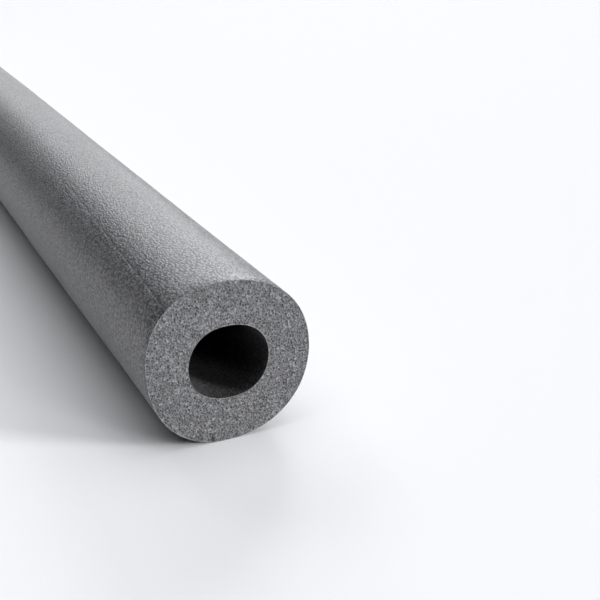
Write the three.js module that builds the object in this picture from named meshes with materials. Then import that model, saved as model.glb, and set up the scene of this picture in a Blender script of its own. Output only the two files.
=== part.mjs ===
// Pipe insulation lagging: one straight length of extruded foam tube, sawn square at both ends.
// Millimetres, +Z up. The tube lies along X on the plane z = 0, with its middle over the origin.
// The end that shows in the photograph is the one at +X.
import * as THREE from "three";

// The pipe that the lagging slides over, and the room that the foam leaves round it.
const pipeDiameter = 22;
const boreClearance = 1;

// The foam's own sizes.
const wallThickness = 13;
const tubeLength = 1000;

// The soft foam has relaxed a little in its pack, so that the bore is an oval.
// boreSpread is what the long radius gains and the short one loses on the round bore.
const boreSpread = 0.6;
const boreTiltDegrees = 10;

// Sides of the polygons that stand for the round outlines.
// In a multiple of four, one side lies flat on the floor.
const sectionSides = 64;

const boreRadius = (pipeDiameter + boreClearance) / 2;
const outerRadius = boreRadius + wallThickness;
const sideAngle = (2 * Math.PI) / sectionSides;

// From the tube's axis down to the flat that it lies on.
const axisHeight = outerRadius * Math.cos(sideAngle / 2);

// A closed path of sectionSides straight sides round an ellipse.
function ovalPath(path, longRadius, shortRadius, startAngle, tilt) {
  path.absellipse(0, 0, longRadius, shortRadius, startAngle, startAngle + 2 * Math.PI, false, tilt);
  return path;
}

// The foam's section, seen from the +X end: a round outline with the oval bore through it.
function tubeSection() {
  const section = ovalPath(new THREE.Shape(), outerRadius, outerRadius, sideAngle / 2, 0);
  const longRadius = boreRadius + boreSpread;
  const shortRadius = boreRadius - boreSpread;
  const tilt = THREE.MathUtils.degToRad(boreTiltDegrees);
  section.holes.push(ovalPath(new THREE.Path(), longRadius, shortRadius, 0, tilt));
  return section;
}

// The whole tube, drawn out along its own Z from the section.
function foamTube() {
  const geometry = new THREE.ExtrudeGeometry(tubeSection(), {
    depth: tubeLength,
    steps: 1,
    bevelEnabled: false,
    curveSegments: sectionSides / 2,
  });
  geometry.translate(0, 0, -tubeLength / 2);
  const foam = new THREE.MeshStandardMaterial({ color: 0x77777b, roughness: 0.9, metalness: 0 });
  const mesh = new THREE.Mesh(geometry, foam);
  mesh.name = "foam_tube";
  return mesh;
}

// Turns the section's own X, Y and Z to the object's Y, Z and X.
function layAlongX(mesh) {
  const turn = new THREE.Matrix4().makeBasis(
    new THREE.Vector3(0, 1, 0),
    new THREE.Vector3(0, 0, 1),
    new THREE.Vector3(1, 0, 0),
  );
  mesh.quaternion.setFromRotationMatrix(turn);
  mesh.position.set(0, 0, axisHeight);
  return mesh;
}

const lagging = new THREE.Group();
lagging.add(layAlongX(foamTube()));

export default lagging;
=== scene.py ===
import math
import random

import bpy
from mathutils import Matrix, Vector, noise
from mathutils.geometry import delaunay_2d_cdt


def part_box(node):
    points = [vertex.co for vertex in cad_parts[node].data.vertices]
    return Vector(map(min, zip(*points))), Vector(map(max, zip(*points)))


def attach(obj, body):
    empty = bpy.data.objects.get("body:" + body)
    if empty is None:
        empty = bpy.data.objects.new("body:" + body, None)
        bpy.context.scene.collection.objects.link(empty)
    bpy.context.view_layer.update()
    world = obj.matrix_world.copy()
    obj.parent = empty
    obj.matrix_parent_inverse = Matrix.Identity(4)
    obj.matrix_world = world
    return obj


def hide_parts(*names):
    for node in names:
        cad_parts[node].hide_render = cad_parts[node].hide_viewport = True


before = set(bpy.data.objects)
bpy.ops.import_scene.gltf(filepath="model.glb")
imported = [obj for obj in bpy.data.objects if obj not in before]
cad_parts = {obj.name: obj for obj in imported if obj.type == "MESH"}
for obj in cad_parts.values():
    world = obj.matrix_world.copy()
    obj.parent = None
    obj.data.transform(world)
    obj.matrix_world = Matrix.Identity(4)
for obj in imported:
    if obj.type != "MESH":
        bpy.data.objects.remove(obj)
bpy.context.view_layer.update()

MM = 0.001
FULL_TURN = 2 * math.pi

# The camera stands in front of the near end, to the left of the tube, and looks down along it.
CAMERA_PLACE = Vector((0.7715, -0.0945, 0.1527))
CAMERA_HEADING = 156.72
CAMERA_PITCH = 21.13
CAMERA_ROLL = 1.83
CAMERA_LENS = 67.46
CAMERA_SENSOR = 36.0
CAMERA_CLIP = 0.01

# The tube. Its length and its place along X are the model's.
cad_low, cad_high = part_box("foam_tube")
NEAR_END = cad_high.x
FAR_END = cad_low.x
OUTER_RADIUS = 24.5 * MM
BORE_RADIUS = 11.46 * MM

# The soft foam is not truly round. Each entry is a number of lobes, their height and the angle of one crest.
OUTER_LOBES = ((2, 0.25 * MM, 27), (3, 0.38 * MM, 13), (4, 0.32 * MM, 46))
BORE_LOBES = ((1, 0.21 * MM, -49), (2, 0.59 * MM, 10), (4, 0.16 * MM, 38))

# Slow swells of the skin and shorter dimples, each with the place in the noise that it is read from.
# The bore has a share of them.
SWELL_HEIGHT = 0.22 * MM
SWELL_LENGTH = 60 * MM
SWELL_SHIFT = Vector((3.1, 0, 0))
DIMPLE_HEIGHT = 0.07 * MM
DIMPLE_LENGTH = 9 * MM
DIMPLE_SHIFT = Vector((0, 7.7, 0))
BORE_SWELL_SHARE = 0.5

# How deep the tube's own weight presses it on the floor, and how close to the floor the skin starts to
# flatten.
FLOOR_PRESS = 0.08 * MM
FLOOR_SOFTNESS = 0.12 * MM

# The cut faces: a thin dense skin of uneven thickness at both rims, and open cells between the rims.
SKIN_THICKNESS = 0.12 * MM
SKIN_RAGGEDNESS = 0.2 * MM
CUT_INNER = BORE_RADIUS + SKIN_THICKNESS
CUT_OUTER = OUTER_RADIUS - SKIN_THICKNESS

# The rounded edge of that skin: its width, and how far its crest lies inside and behind, as shares of the
# width.
RIM_ROUNDING = 0.09 * MM
RIM_CREST_INSET = 0.3
RIM_CREST_DEPTH = 0.35

# The cells' sizes, and how they are thrown: cells of mixed size first, then the smallest ones into the gaps.
SMALLEST_CELL = 0.5 * MM
LARGEST_CELL = 1.05 * MM
MEAN_CELL = (SMALLEST_CELL + LARGEST_CELL) / 2
CELL_SKEW = 1.6
CELL_THROWS = 60000
MIXED_THROWS = 30000
CELL_SEED = 7

# How far a cell's centre keeps from the rims, as a share of its size, and how near to a rim the cells are
# mirrored.
CELL_ROOM = 0.42
MIRROR_REACH = 1.6 * LARGEST_CELL

# Walls between cells: the shortest that is kept and how ragged they are torn. Their layout is made in
# millimetres, to this tolerance, of all the triangles in the hull of the cells' centres.
SHORT_WALL = 0.07 * MM
WALL_RAGGEDNESS = 0.08 * MM
LAYOUT_TOLERANCE = 1e-6
LAYOUT_OF_HULL = 0

# Each cell is a cup. Its rings are shares of its outline's size and of its depth, and its floor is tilted.
# A larger cell is deeper, up to a limit, and chance makes cells shallower, down to a share of their depth.
# A tilted floor stays sunk by at least a share of the depth.
CELL_DEPTH = 0.24 * MM
CELL_CUP = ((0.76, 0.5), (0.42, 1.0))
CELL_TILT = 0.35
DEEPEST_CELL = 1.3
SHALLOWEST_CELL = 0.1
LEAST_SUNK = 0.2

# How light a cell is: few are pale and most are dark. Points outside the cells are in the middle.
LIGHTNESS_SKEW = 2.5
PLAIN_LIGHTNESS = 0.5

# A short radial nick in the near cut face, deepest at the outer rim. For its painted shade, its depth counts
# double.
NICK_ANGLE = -105
NICK_LENGTH = 3.2 * MM
NICK_WIDTH = 0.42 * MM
NICK_DEPTH = 0.9 * MM
NICK_SHADE = 2

# How many sides and stations the outside and the bore have, and how evenly the stations are spaced:
# at 1 they are all the same distance apart, and below it they crowd towards the ends.
OUTER_SIDES = 256
OUTER_STATIONS = 84
BORE_SIDES = 128
BORE_STATIONS = 48
EVEN_SPACING = 0.45

# A faint line that the extruder left on the skin: its size, where it runs, and how it drifts towards the
# near end.
LINE_WIDTH = 0.45 * MM
LINE_DEPTH = 0.11 * MM
LINE_ANGLE = 121.5
LINE_DRIFT = 11
LINE_DRIFT_START = 0.375

# The line is patchy. Its depth swings about a mean, by a row of noise, and fades out towards the far end.
LINE_PATCH = 12 * MM
LINE_PATCH_ROW = Vector((0, 12.25, 0.5))
LINE_PATCH_MEAN = 0.9
LINE_PATCH_SWING = 0.6
LINE_FADE_START = 0.3
LINE_FADE_END = 0.48

# How many sides of the skin, before and after the line, make room for it.
LINE_REACH = 16

# The foam's grey is a trace bluer than neutral.
GREY_TINT = (1.0, 1.005, 1.045)
SKIN_GREYS = (0.255, 0.285)
# The bore's greys are far darker than the foam's: a painted shade for the deep bore.
BORE_SHADED_GREYS = (0.055, 0.065)
# The cut greys run from the walls to a painted shade in the hollows.
CUT_GREYS_SHADED_IN_HOLLOWS = (0.36, 0.235)

# The skin's relief and colour. A scale is how many features fit in a metre, and each noise has a scale and a
# detail. Shades are multiplied with the grey, over a span of the noise, the distance or the depth.
SKIN_STRETCH = (0.5, 1.0, 1.0)
SLOW_NOISE = (90.0, 3.0)
SLOW_SPAN = (0.3, 0.7)
MOTTLE_NOISE = (1900.0, 1.0)
MOTTLE_SHADES = (0.2, 1.0)
MOTTLE_SPAN = (0.3, 0.66)
MOTTLE_BUMP = 0.1 * MM
PEBBLE_SCALE = 1400.0
PEBBLE_SMOOTHNESS = 0.35
PEBBLE_BUMP = 0.12 * MM
# Painted shade: the grey darkens towards the creases between the pebbles.
CREASE_PAINTED_SHADES = (1.0, 0.3)
CREASE_SPAN = (0.38, 0.72)
SKIN_ROUGHNESS = 0.42
SKIN_SHEEN = 0.15
SKIN_SHEEN_ROUGHNESS = 0.4

# The cut foam's relief and colour. Its grey darkens with depth, which is a painted shade in the hollows.
WALL_TO_HOLLOW = (0.05, 1.0)
CELL_SHADES = (0.5, 1.0)
FULL_SPAN = (0.0, 1.0)
GRAIN_NOISE = (1900.0, 2.0)
GRAIN_SHADES = (0.4, 1.0)
GRAIN_SPAN = (0.34, 0.66)
GRAIN_BUMP = 0.12 * MM
BLOTCH_NOISE = (260.0, 2.0)
BLOTCH_SHADES = (0.84, 1.0)
BLOTCH_SPAN = (0.35, 0.65)
CUT_ROUGHNESS = 0.8

# The studio: a white floor, a pale backdrop that gives no light, and soft lights far away. Each light is its
# azimuth from +X towards +Y, its elevation, its spread and its strength.
FLOOR_HALF = 40.0
FLOOR_COLOUR = (0.9, 0.903, 0.91, 1)
FLOOR_ROUGHNESS = 0.9
KEY_LIGHT = (50, 14, 16, 3.3)
FILL_LIGHTS = (
    (20, 26, 16, 0.68),
    (150, 26, 16, 0.95),
    (170, 26, 16, 0.36),
    (190, 38, 16, 0.31),
    (90, 70, 60, 1.05),
    (285, 60, 30, 0.18),
    (270, 85, 60, 0.36),
)
KEY_COLOUR = (1.0, 1.0, 1.0)
FILL_COLOUR = (0.965, 0.97, 1.0)
BACKDROP_COLOUR = (0.93, 0.94, 0.955, 1)

# The tube's finishes, in the order of its materials.
SKIN = 0
CUT = 1
BORE = 2


def add_object(name, data):
    """A new object in the scene, at the origin."""
    new_object = bpy.data.objects.new(name, data)
    bpy.context.scene.collection.objects.link(new_object)
    return new_object


def add_camera():
    """The camera, from its heading, pitch and roll."""
    heading = math.radians(CAMERA_HEADING)
    pitch = math.radians(CAMERA_PITCH)
    roll = math.radians(CAMERA_ROLL)
    flat = Vector((math.cos(heading), math.sin(heading), 0))
    forward = flat * math.cos(pitch) - Vector((0, 0, math.sin(pitch)))
    right = forward.cross(Vector((0, 0, 1))).normalized()
    up = right.cross(forward)
    turned_right = right * math.cos(roll) - up * math.sin(roll)
    turned_up = right * math.sin(roll) + up * math.cos(roll)
    data = bpy.data.cameras.new("camera")
    data.lens = CAMERA_LENS
    data.sensor_width = CAMERA_SENSOR
    data.clip_start = CAMERA_CLIP
    camera = add_object("camera", data)
    axes = Matrix((turned_right, turned_up, -forward)).transposed()
    camera.matrix_world = Matrix.Translation(CAMERA_PLACE) @ axes.to_4x4()
    bpy.context.scene.camera = camera


def share_between(value, start, end):
    """How far a value is from the start of a range to its end, held between 0 and 1."""
    return min(1, max(0, (value - start) / (end - start)))


def end_place(x_side):
    """The place along X of the near end, on the side of +X, or of the far end."""
    return NEAR_END if x_side > 0 else FAR_END


def lobes(angle, entries):
    """What a list of lobes adds to a radius at that angle."""
    return sum(height * math.cos(count * (angle - math.radians(crest))) for count, height, crest in entries)


def swell(x, angle):
    """Slow and small unevenness of the skin."""
    around = Vector((0, math.cos(angle), math.sin(angle))) * OUTER_RADIUS
    place = around + Vector((x, 0, 0))
    slow = noise.noise(place / SWELL_LENGTH + SWELL_SHIFT)
    dimple = noise.noise(place / DIMPLE_LENGTH + DIMPLE_SHIFT)
    return SWELL_HEIGHT * slow + DIMPLE_HEIGHT * dimple


def outer_radius(x, angle):
    """The skin's radius, without the extruder's line."""
    return OUTER_RADIUS + lobes(angle, OUTER_LOBES) + swell(x, angle)


def bore_radius(x, angle):
    """The bore's radius, measured from the outside's centre."""
    return BORE_RADIUS + lobes(angle, BORE_LOBES) + BORE_SWELL_SHARE * swell(x, angle)


AXIS_HEIGHT = outer_radius(NEAR_END, -math.pi / 2) - FLOOR_PRESS


def section_point(x, angle, radius):
    """A point of the tube in the frame, pressed softly against the floor and never below it."""
    z = AXIS_HEIGHT + radius * math.sin(angle)
    if z < FLOOR_SOFTNESS:
        z = FLOOR_SOFTNESS * math.exp(z / FLOOR_SOFTNESS - 1)
    return Vector((x, radius * math.cos(angle), z))


class MeshData:
    """Vertices, faces, each face's finish, and each vertex's lightness and depth below the cut, which sets
    the painted shade of the cut faces.
    """

    def __init__(self):
        self.points = []
        self.faces = []
        self.finish = []
        self.depth = []
        self.lightness = []

    def point(self, place, depth=0.0, lightness=PLAIN_LIGHTNESS):
        """Adds a vertex and returns its number. Its depth is in units of a cell's depth."""
        self.points.append(place)
        self.depth.append(depth)
        self.lightness.append(lightness)
        return len(self.points) - 1

    def face(self, corners, facing, finish):
        """Adds a face, turned over where it isn't facing out."""
        self.faces.append(corners if facing else corners[::-1])
        self.finish.append(finish)


def cells_nearby(grid, column, row):
    """The cells thrown so far in one square of the grid and in the eight round it."""
    found = []
    for i in (-1, 0, 1):
        for j in (-1, 0, 1):
            found += grid.get((column + i, row + j), [])
    return found


def cell_sites(inner, outer, draw):
    """Cell centres of mixed size, thrown at random between two radii and kept clear of each other."""
    sites = []
    grid = {}
    for throw in range(CELL_THROWS):
        radius = math.sqrt(draw.uniform(inner * inner, outer * outer))
        angle = draw.uniform(0, FULL_TURN)
        size = SMALLEST_CELL + (LARGEST_CELL - SMALLEST_CELL) * draw.random() ** CELL_SKEW
        if throw > MIXED_THROWS:
            size = SMALLEST_CELL
        room = CELL_ROOM * size
        if radius - inner < room or outer - radius < room:
            continue
        place = Vector((radius * math.cos(angle), radius * math.sin(angle)))
        column = math.floor(place.x / LARGEST_CELL)
        row = math.floor(place.y / LARGEST_CELL)
        near = cells_nearby(grid, column, row)
        if all((place - other).length > (size + other_size) / 2 for other, other_size in near):
            grid.setdefault((column, row), []).append((place, size))
            sites.append(place)
    return sites


def mirror_images(sites, inner, outer):
    """The images of the sites next to an edge, over that edge, so that cell walls follow both edges."""
    images = []
    for site in sites:
        for edge, limit in (("inner", inner), ("outer", outer)):
            if abs(site.length - limit) < MIRROR_REACH:
                images.append((site.normalized() * (2 * limit - site.length), edge))
    return images


def circumcentre(a, b, c):
    """The centre of the circle through three points of the plane."""
    b, c = b - a, c - a
    twice = 2 * (b.x * c.y - b.y * c.x)
    bb, cc = b.length_squared, c.length_squared
    return a + Vector(((c.y * bb - b.y * cc) / twice, (b.x * cc - c.x * bb) / twice))


def triangle_edge(kinds):
    """The edge that a triangle's centre lies on, from the edges that its corners are images over, if any."""
    if None not in kinds:
        return "beyond"
    for kind in kinds:
        if kind:
            return kind
    return None


def sorted_round(numbers, centres, middle):
    """Wall corners in their order round a cell's middle."""

    def angle_of(n):
        return math.atan2(centres[n].y - middle.y, centres[n].x - middle.x)

    return sorted(numbers, key=angle_of)


def cell_polygons(inner, outer, seed):
    """The cells of a cut annulus as polygons: corner places and the edge that each corner lies on, if any."""
    sites = cell_sites(inner, outer, random.Random(seed))
    images = mirror_images(sites, inner, outer)
    edges_of = [None] * len(sites) + [edge for place, edge in images]
    flat = sites + [place for place, edge in images]
    in_mm = [place / MM for place in flat]
    layout = delaunay_2d_cdt(in_mm, [], [], LAYOUT_OF_HULL, LAYOUT_TOLERANCE)
    places, _, triangles, sources, _, _ = layout
    source = [numbers[0] for numbers in sources]
    centres = []
    edge_at = []
    around = {}
    for number, triangle in enumerate(triangles):
        a, b, c = (places[i] for i in triangle)
        centres.append(circumcentre(a, b, c) * MM)
        edge_at.append(triangle_edge([edges_of[source[i]] for i in triangle]))
        for i in triangle:
            around.setdefault(source[i], []).append(number)
    joined = join_close(centres, edge_at, triangles)
    cells = []
    for site, middle in enumerate(sites):
        corners = []
        for n in sorted_round(around[site], centres, middle):
            if joined[n] not in corners:
                corners.append(joined[n])
        cells.append(corners)
    return centres, edge_at, cells


def join_close(centres, edge_at, triangles):
    """Joins wall corners that are so close that the wall between them would be a sliver."""
    leader = list(range(len(centres)))

    def find(n):
        while leader[n] != n:
            n = leader[n]
        return n

    beside = {}
    for number, triangle in enumerate(triangles):
        for i, corner in enumerate(triangle):
            side = frozenset((corner, triangle[(i + 1) % len(triangle)]))
            beside.setdefault(side, []).append(number)
    for pair in beside.values():
        if "beyond" in [edge_at[n] for n in pair] or len(pair) < 2:
            continue
        if (centres[pair[0]] - centres[pair[1]]).length < SHORT_WALL:
            a, b = find(pair[0]), find(pair[1])
            if a != b:
                keep, drop = (a, b) if edge_at[a] or not edge_at[b] else (b, a)
                leader[drop] = keep
    return [find(n) for n in range(len(centres))]


def nick_depth(x_side, place):
    """How deep the nick cuts the near face at a place of its plane."""
    if x_side < 0:
        return 0.0
    angle = math.radians(NICK_ANGLE)
    along = Vector((math.cos(angle), math.sin(angle)))
    across = Vector((-along.y, along.x))
    inside = OUTER_RADIUS - place.dot(along)
    if inside > NICK_LENGTH:
        return 0.0
    aside = abs(place.dot(across)) / NICK_WIDTH
    return NICK_DEPTH * max(0.0, 1 - aside) * (1 - inside / NICK_LENGTH)


def add_cut_point(mesh, x_side, flat, sunk, lightness):
    """Adds a place of the round annulus, moved to the real section and sunk below the cut."""
    x_end = end_place(x_side)
    angle = math.atan2(flat.y, flat.x)
    share = (flat.length - CUT_INNER) / (CUT_OUTER - CUT_INNER)
    low = bore_radius(x_end, angle) + SKIN_THICKNESS
    high = outer_radius(x_end, angle) - SKIN_THICKNESS
    nick = nick_depth(x_side, flat)
    place = section_point(x_end - x_side * (sunk + nick), angle, low + share * (high - low))
    # The vertex keeps its depth, with the nick's counted double, for the painted shade of the cut.
    return mesh.point(place, (sunk + NICK_SHADE * nick) / CELL_DEPTH, lightness)


def add_wall_corners(mesh, x_side, centres, edge_at, cells, draw):
    """The torn tops of the cell walls. Returns the point of each corner, and the rings at the two rims."""
    corner_of = {}
    rims = {"inner": {}, "outer": {}}
    for cell in cells:
        for n in cell:
            if n in corner_of:
                continue
            flat = centres[n]
            edge = edge_at[n]
            sunk = WALL_RAGGEDNESS * draw.random()
            if edge:
                ragged = SKIN_RAGGEDNESS * draw.random()
                flat = flat.normalized() * (CUT_INNER + ragged if edge == "inner" else CUT_OUTER - ragged)
            corner_of[n] = add_cut_point(mesh, x_side, flat, sunk, draw.random())
            if edge:
                rims[edge][math.atan2(flat.y, flat.x) % FULL_TURN] = corner_of[n]
            centres[n] = flat
    return corner_of, {edge: sorted(ring.items()) for edge, ring in rims.items()}


def add_cup(mesh, x_side, cell, centres, corner_of, draw):
    """One open cell, as a cup with a tilted floor."""
    middle = sum((centres[n] for n in cell), Vector((0, 0))) / len(cell)
    size = 2 * sum((centres[n] - middle).length for n in cell) / len(cell)
    deep = CELL_DEPTH * min(DEEPEST_CELL, size / MEAN_CELL) * draw.uniform(SHALLOWEST_CELL, 1)
    tilt = Vector((draw.uniform(-CELL_TILT, CELL_TILT), draw.uniform(-CELL_TILT, CELL_TILT)))
    lightness = draw.random() ** LIGHTNESS_SKEW
    rings = [[corner_of[n] for n in cell]]
    for share, part in CELL_CUP:
        ring = []
        for n in cell:
            offset = (centres[n] - middle) * share
            sunk = max(LEAST_SUNK * deep, deep * part + offset.dot(tilt))
            ring.append(add_cut_point(mesh, x_side, middle + offset, sunk, lightness))
        rings.append(ring)
    count = len(cell)
    facing = x_side > 0
    for upper, lower in zip(rings, rings[1:]):
        for i in range(count):
            j = (i + 1) % count
            mesh.face((upper[i], upper[j], lower[j], lower[i]), facing, CUT)
    mesh.face(tuple(rings[-1]), facing, CUT)


def cut_face(mesh, x_side, seed):
    """One cut face with its open cells. Returns the rings of points at the skin and at the bore."""
    centres, edge_at, cells = cell_polygons(CUT_INNER, CUT_OUTER, seed)
    draw = random.Random(seed + 1)
    corner_of, rims = add_wall_corners(mesh, x_side, centres, edge_at, cells, draw)
    for cell in cells:
        if len(cell) > 2:
            add_cup(mesh, x_side, cell, centres, corner_of, draw)
    return rims


def ring_band(mesh, first, second, facing, finish):
    """A band of quads between two closed rings of (angle, point) with the same number of points."""
    count = len(first)
    for i in range(count):
        j = (i + 1) % count
        mesh.face((first[i][1], second[i][1], second[j][1], first[j][1]), facing, finish)


def zip_rings(mesh, first, second, facing, finish):
    """A band of triangles between two closed rings of (angle, point), each sorted by angle."""
    i = 0
    j = 0
    while i < len(first) or j < len(second):
        a = first[i % len(first)][1]
        b = second[j % len(second)][1]
        next_a = first[(i + 1) % len(first)][0] + FULL_TURN * ((i + 1) // len(first))
        next_b = second[(j + 1) % len(second)][0] + FULL_TURN * ((j + 1) // len(second))
        if j >= len(second) or (i < len(first) and next_a <= next_b):
            c = first[(i + 1) % len(first)][1]
            i += 1
        else:
            c = second[(j + 1) % len(second)][1]
            j += 1
        mesh.face((a, b, c), facing, finish)


def stations(count, start, end):
    """Places along the tube between two ends, closer together near the ends."""
    middle = (start + end) / 2
    half = (end - start) / 2
    places = []
    for k in range(count):
        share = 2 * k / (count - 1) - 1
        crowded = math.sin(share * math.pi / 2)
        places.append(middle + half * ((1 - EVEN_SPACING) * crowded + EVEN_SPACING * share))
    return places


def line_angle(x):
    """The angle at which the extruder's line runs, which drifts a little near the near end."""
    return math.radians(LINE_ANGLE + LINE_DRIFT * share_between(x, LINE_DRIFT_START, NEAR_END))


def line_cut(x, angle):
    """How deep the extruder's line is at a place of the skin."""
    aside = abs(angle - line_angle(x)) * OUTER_RADIUS / (LINE_WIDTH / 2)
    share = share_between(x, LINE_FADE_START, LINE_FADE_END)
    patchy = LINE_PATCH_MEAN + LINE_PATCH_SWING * noise.noise(LINE_PATCH_ROW + Vector((x / LINE_PATCH, 0, 0)))
    return LINE_DEPTH * share * patchy * max(0.0, 1 - aside)


def lined_radius(x, angle):
    """The skin's radius with the extruder's line cut into it."""
    return outer_radius(x, angle) - line_cut(x, angle)


def skin_angles(x):
    """The sides of the skin at one station. Three of them follow the extruder's line."""
    step = FULL_TURN / OUTER_SIDES
    half = LINE_WIDTH / 2 / OUTER_RADIUS
    line = line_angle(x)
    middle = round(math.radians(LINE_ANGLE + LINE_DRIFT / 2) / step)
    low = (middle - LINE_REACH) * step
    high = (middle + LINE_REACH) * step
    angles = [k * step for k in range(OUTER_SIDES)]
    for k in range(LINE_REACH):
        share = k / (LINE_REACH - 1)
        angles[middle - LINE_REACH + k] = low + (line - half - low) * share
        angles[middle + LINE_REACH - k] = high + (line + half - high) * share
    angles[middle] = line
    return angles


def bore_angles(x):
    """The sides of the bore, which are the same at every station."""
    return [FULL_TURN * k / BORE_SIDES for k in range(BORE_SIDES)]


def wall(mesh, radius_at, angles_at, places, outwards, finish):
    """A closed wall along the tube. Returns its first and last rings as (angle, point)."""
    rings = []
    for x in places:
        ring = []
        for angle in angles_at(x):
            place = section_point(x, angle, radius_at(x, angle))
            ring.append((angle % FULL_TURN, mesh.point(place)))
        rings.append(ring)
    for lower, upper in zip(rings, rings[1:]):
        ring_band(mesh, lower, upper, not outwards, finish)
    return sorted(rings[0]), sorted(rings[-1])


def rim(mesh, edge_ring, wall_ring, x_side, radius_at, outwards, finish):
    """The dense skin between a cut face and a wall, with its rounded edge."""
    x_end = end_place(x_side)
    into_foam = -RIM_ROUNDING if outwards else RIM_ROUNDING
    flat = []
    rounded = []
    for angle, _ in edge_ring:
        radius = radius_at(x_end, angle)
        on_skin = Vector((math.cos(angle), math.sin(angle))) * OUTER_RADIUS
        nick = nick_depth(x_side, on_skin) if outwards else 0
        crest = nick + RIM_CREST_DEPTH * RIM_ROUNDING
        flat_place = section_point(x_end - x_side * nick, angle, radius + into_foam)
        crest_place = section_point(x_end - x_side * crest, angle, radius + RIM_CREST_INSET * into_foam)
        flat.append((angle, mesh.point(flat_place)))
        rounded.append((angle, mesh.point(crest_place)))
    facing = (x_side > 0) == outwards
    ring_band(mesh, edge_ring, flat, facing, CUT)
    ring_band(mesh, flat, rounded, facing, finish)
    zip_rings(mesh, rounded, wall_ring, facing, finish)


def build_tube():
    """The whole tube as one closed mesh."""
    mesh = MeshData()
    first = FAR_END + RIM_ROUNDING
    last = NEAR_END - RIM_ROUNDING
    outer_places = stations(OUTER_STATIONS, first, last)
    bore_places = stations(BORE_STATIONS, first, last)
    outer_far, outer_near = wall(mesh, lined_radius, skin_angles, outer_places, True, SKIN)
    bore_far, bore_near = wall(mesh, bore_radius, bore_angles, bore_places, False, BORE)
    for x_side, outer_ring, bore_ring in ((1, outer_near, bore_near), (-1, outer_far, bore_far)):
        rims = cut_face(mesh, x_side, CELL_SEED + x_side)
        rim(mesh, rims["outer"], outer_ring, x_side, outer_radius, True, SKIN)
        rim(mesh, rims["inner"], bore_ring, x_side, bore_radius, False, BORE)
    data = bpy.data.meshes.new("lagging_foam")
    data.from_pydata(mesh.points, [], mesh.faces)
    data.polygons.foreach_set("material_index", mesh.finish)
    data.polygons.foreach_set("use_smooth", [True] * len(mesh.faces))
    for name, values in (("painted_shade_depth", mesh.depth), ("cell_lightness", mesh.lightness)):
        data.attributes.new(name, "FLOAT", "POINT").data.foreach_set("value", values)
    return add_object("lagging_foam", data)


def foam_grey(value):
    """The foam's grey as a colour."""
    return (*(value * tint for tint in GREY_TINT), 1)


def plain_grey(value):
    """A neutral grey as a colour."""
    return (value, value, value, 1)


class Finish:
    """A material made of nodes, with its shader."""

    def __init__(self, name):
        self.material = bpy.data.materials.new(name)
        self.material.use_nodes = True
        self.shader = self.material.node_tree.nodes["Principled BSDF"]

    def add(self, kind, **settings):
        """A new node. Each setting goes to its socket of that name, or else to its property."""
        node = self.material.node_tree.nodes.new(kind)
        for name, value in settings.items():
            if name in node.inputs:
                node.inputs[name].default_value = value
            else:
                setattr(node, name, value)
        return node

    def join(self, output, socket):
        """Leads one node's output to a socket."""
        self.material.node_tree.links.new(output, socket)

    def object_place(self):
        """The place on the object, in metres."""
        return self.add("ShaderNodeTexCoord").outputs["Object"]

    def noise(self, place, scale, detail):
        """A noise over the object."""
        node = self.add("ShaderNodeTexNoise", Scale=scale, Detail=detail)
        self.join(place, node.inputs["Vector"])
        return node.outputs["Fac"]

    def blend(self, factor, colours, span):
        """A colour between two, led by a factor over its span."""
        ramp = self.add("ShaderNodeValToRGB")
        for number in (0, 1):
            ramp.color_ramp.elements[number].position = span[number]
            ramp.color_ramp.elements[number].color = colours[number]
        self.join(factor, ramp.inputs["Fac"])
        return ramp.outputs["Color"]

    def tint(self, factor, greys, span):
        """A foam grey between two, led by a factor over its span."""
        return self.blend(factor, [foam_grey(value) for value in greys], span)

    def shade(self, colour, factor, shades, span):
        """A colour multiplied by a shade between two, led by a factor over its span."""
        mix = self.add("ShaderNodeMixRGB", blend_type="MULTIPLY", Fac=1.0)
        self.join(colour, mix.inputs["Color1"])
        self.join(self.blend(factor, [plain_grey(value) for value in shades], span), mix.inputs["Color2"])
        return mix.outputs["Color"]

    def bump(self, height, distance, invert=False):
        """A node that tilts the surface by a height, at full strength."""
        node = self.add("ShaderNodeBump", Strength=1.0, Distance=distance, invert=invert)
        self.join(height, node.inputs["Height"])
        return node


def skin_material(name, greys):
    """The closed skin between two greys: pebbles with a painted shade in their creases, a fine mottle and
    slow changes.
    """
    finish = Finish(name)
    stretch = finish.add("ShaderNodeMapping", Scale=SKIN_STRETCH)
    finish.join(finish.object_place(), stretch.inputs["Vector"])
    place = stretch.outputs["Vector"]
    slow = finish.noise(place, *SLOW_NOISE)
    mottle = finish.noise(place, *MOTTLE_NOISE)
    pebbles = finish.add("ShaderNodeTexVoronoi", feature="SMOOTH_F1")
    pebbles.inputs["Scale"].default_value = PEBBLE_SCALE
    pebbles.inputs["Smoothness"].default_value = PEBBLE_SMOOTHNESS
    finish.join(place, pebbles.inputs["Vector"])
    from_middle = pebbles.outputs["Distance"]

    colour = finish.tint(slow, greys, SLOW_SPAN)
    colour = finish.shade(colour, mottle, MOTTLE_SHADES, MOTTLE_SPAN)
    # Painted shade: the grey darkens towards the creases between the pebbles.
    colour = finish.shade(colour, from_middle, CREASE_PAINTED_SHADES, CREASE_SPAN)
    finish.join(colour, finish.shader.inputs["Base Color"])

    pebble_bump = finish.bump(from_middle, PEBBLE_BUMP, invert=True)
    mottle_bump = finish.bump(mottle, MOTTLE_BUMP)
    finish.join(pebble_bump.outputs["Normal"], mottle_bump.inputs["Normal"])
    finish.join(mottle_bump.outputs["Normal"], finish.shader.inputs["Normal"])
    finish.shader.inputs["Roughness"].default_value = SKIN_ROUGHNESS
    finish.shader.inputs["Sheen Weight"].default_value = SKIN_SHEEN
    finish.shader.inputs["Sheen Roughness"].default_value = SKIN_SHEEN_ROUGHNESS
    return finish.material


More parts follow.
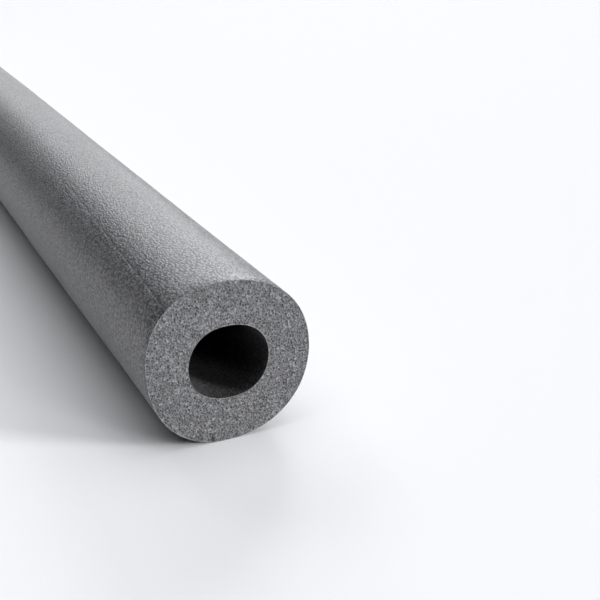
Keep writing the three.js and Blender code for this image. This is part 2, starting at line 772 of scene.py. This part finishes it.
def cut_material():
    """The cut foam: pale torn cell walls, a painted shade darkening the hollows and the nick, each cell
    lighter or darker than the next.
    """
    finish = Finish("foam_cut")
    place = finish.object_place()
    depth = finish.add("ShaderNodeAttribute", attribute_name="painted_shade_depth").outputs["Fac"]
    lightness = finish.add("ShaderNodeAttribute", attribute_name="cell_lightness").outputs["Fac"]
    grain = finish.noise(place, *GRAIN_NOISE)
    blotch = finish.noise(place, *BLOTCH_NOISE)

    # Painted shade: the grey darkens from the walls down into the hollows and the nick.
    colour = finish.tint(depth, CUT_GREYS_SHADED_IN_HOLLOWS, WALL_TO_HOLLOW)
    colour = finish.shade(colour, lightness, CELL_SHADES, FULL_SPAN)
    colour = finish.shade(colour, grain, GRAIN_SHADES, GRAIN_SPAN)
    colour = finish.shade(colour, blotch, BLOTCH_SHADES, BLOTCH_SPAN)
    finish.join(colour, finish.shader.inputs["Base Color"])

    grain_bump = finish.bump(grain, GRAIN_BUMP)
    finish.join(grain_bump.outputs["Normal"], finish.shader.inputs["Normal"])
    finish.shader.inputs["Roughness"].default_value = CUT_ROUGHNESS
    return finish.material


def add_tube():
    """The foam tube with its three finishes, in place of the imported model's tube."""
    tube = build_tube()
    tube.data.materials.append(skin_material("foam_skin", SKIN_GREYS))
    tube.data.materials.append(cut_material())
    # The bore's far darker greys are a painted shade for the deep bore.
    tube.data.materials.append(skin_material("bore_skin_painted_shade", BORE_SHADED_GREYS))
    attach(tube, "root")
    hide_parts("foam_tube")


def add_floor():
    """The white floor."""
    data = bpy.data.meshes.new("floor")
    h = FLOOR_HALF
    data.from_pydata([(-h, -h, 0), (h, -h, 0), (h, h, 0), (-h, h, 0)], [], [(0, 1, 2, 3)])
    finish = Finish("white_floor")
    finish.shader.inputs["Base Color"].default_value = FLOOR_COLOUR
    finish.shader.inputs["Roughness"].default_value = FLOOR_ROUGHNESS
    data.materials.append(finish.material)
    add_object("floor", data)


def add_light(azimuth, elevation, spread, strength, colour):
    """One soft light, far away."""
    light = bpy.data.lights.new("soft_light", "SUN")
    light.color = colour
    light.angle = math.radians(spread)
    light.energy = strength
    turn = math.radians(azimuth)
    rise = math.radians(elevation)
    towards = Vector((math.cos(rise) * math.cos(turn), math.cos(rise) * math.sin(turn), math.sin(rise)))
    lamp = add_object("soft_light", light)
    lamp.rotation_euler = towards.to_track_quat("Z", "Y").to_euler()


def add_backdrop():
    """The pale world that the camera sees behind the floor. It lights nothing."""
    world = bpy.data.worlds.new("studio")
    bpy.context.scene.world = world
    world.use_nodes = True
    world.node_tree.nodes["Background"].inputs["Color"].default_value = BACKDROP_COLOUR
    world.cycles_visibility.diffuse = False
    world.cycles_visibility.glossy = False
    bpy.context.scene.view_settings.view_transform = "Standard"


def add_studio():
    """The floor, the lights and the backdrop."""
    add_floor()
    add_light(*KEY_LIGHT, KEY_COLOUR)
    for light in FILL_LIGHTS:
        add_light(*light, FILL_COLOUR)
    add_backdrop()


add_camera()
add_tube()
add_studio()
